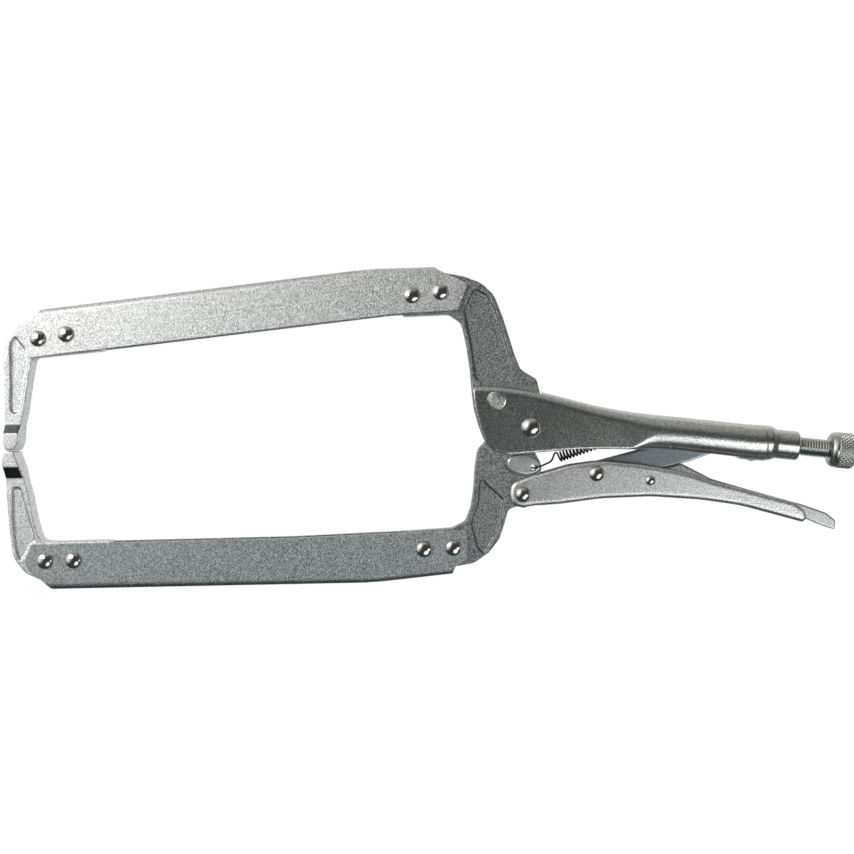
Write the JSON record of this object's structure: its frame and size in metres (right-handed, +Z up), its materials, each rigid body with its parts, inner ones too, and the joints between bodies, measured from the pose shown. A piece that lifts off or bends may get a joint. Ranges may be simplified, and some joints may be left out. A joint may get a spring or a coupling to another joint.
{
  "type": "locking c clamp",
  "caption": "Long-reach locking C-clamp: two channel-section arms, forged jaws, over-centre toggle lever and knurled adjusting screw.",
  "frame": {"origin": "middle of the overall length, middle of the thickness, at the underside of the lower arm, with the clamp standing upright on that arm", "axes": "+X from the clamping tips towards the adjusting knob, +Y across the thickness, +Z up, from the lower arm to the upper arm"},
  "size_m": [0.4575, 0.0238, 0.1683],
  "materials": {
    "sheet_steel": "satin nickel plate over a blasted grain",
    "forged_steel": "plated, blasted, coarse grain",
    "handle_steel": "satin nickel plate over a blasted grain",
    "lever_steel": "satin nickel plate over a blasted grain",
    "rivet_steel": "bright plated, formed dome",
    "toggle_steel": "plated, smooth",
    "spring_steel": "dark drawn wire",
    "screw_steel": "plated, rolled thread",
    "knob_steel": "bright plated, diamond knurl"
  },
  "bodies": {
    "handle_and_upper_arm": {"handle_body": "handle_steel", "fixed_jaw": "forged_steel", "upper_channel": "sheet_steel", "upper_tip": "forged_steel", "main_pivot_rivet": "rivet_steel", "jaw_plug_rivet": "rivet_steel", "upper_front_rivet_1": "rivet_steel", "upper_front_rivet_2": "rivet_steel", "upper_rear_rivet_1": "rivet_steel", "upper_rear_rivet_2": "rivet_steel", "tension_spring": "spring_steel"},
    "lower_arm": {"lower_jaw": "forged_steel", "lower_channel": "sheet_steel", "lower_tip": "forged_steel", "lower_front_rivet_1": "rivet_steel", "lower_front_rivet_2": "rivet_steel", "lower_rear_rivet_1": "rivet_steel", "lower_rear_rivet_2": "rivet_steel"},
    "lever": {"lever": "lever_steel", "lever_pivot_rivet": "rivet_steel", "toggle_rivet": "rivet_steel", "release_rivet": "rivet_steel"},
    "toggle_link": {"toggle_link": "toggle_steel"},
    "release_lever": {"release_lever": "lever_steel"},
    "screw_clip": {"screw_clip": "spring_steel"},
    "adjusting_screw": {"adjusting_screw": "screw_steel", "knob": "knob_steel"}
  },
  "joints": [
    {"name": "jaw_pivot", "type": "hinge", "parent": "handle_and_upper_arm", "child": "lower_arm", "pos_m": [0.0541, 0, 0.0813], "axis": [0, -1, 0], "range_deg": [0, 30], "deforming": ["tension_spring"]},
    {"name": "lever_pivot", "type": "hinge", "parent": "lower_arm", "child": "lever", "pos_m": [0.0489, 0, 0.0457], "axis": [0, 1, 0], "range_deg": [0, 78.7]},
    {"name": "toggle_pivot", "type": "hinge", "parent": "lever", "child": "toggle_link", "pos_m": [0.0885, 0, 0.0559], "axis": [0, -1, 0], "range_deg": [0, 78.1]},
    {"name": "release_lever_pivot", "type": "hinge", "parent": "lever", "child": "release_lever", "pos_m": [0.117, 0, 0.0518], "axis": [0, -1, 0], "range_deg": [0, 4]},
    {"name": "screw_feed", "type": "slide", "parent": "handle_and_upper_arm", "child": "screw_clip", "axis": [0.993, 0, -0.1184], "range_m": [0, 0.0105]},
    {"name": "screw_turn", "type": "hinge", "parent": "screw_clip", "child": "adjusting_screw", "pos_m": [0.1981, 0, 0.0684], "axis": [0.993, 0, -0.1184], "range_deg": [0, 2520.1]}
  ],
  "couplings": [
    {"joint": "lever_pivot", "follows": "jaw_pivot", "ratio": 2.6052},
    {"joint": "toggle_pivot", "follows": "jaw_pivot", "ratio": 2.5861},
    {"joint": "screw_turn", "follows": "screw_feed", "rad_per_m": 4188.8}
  ]
}
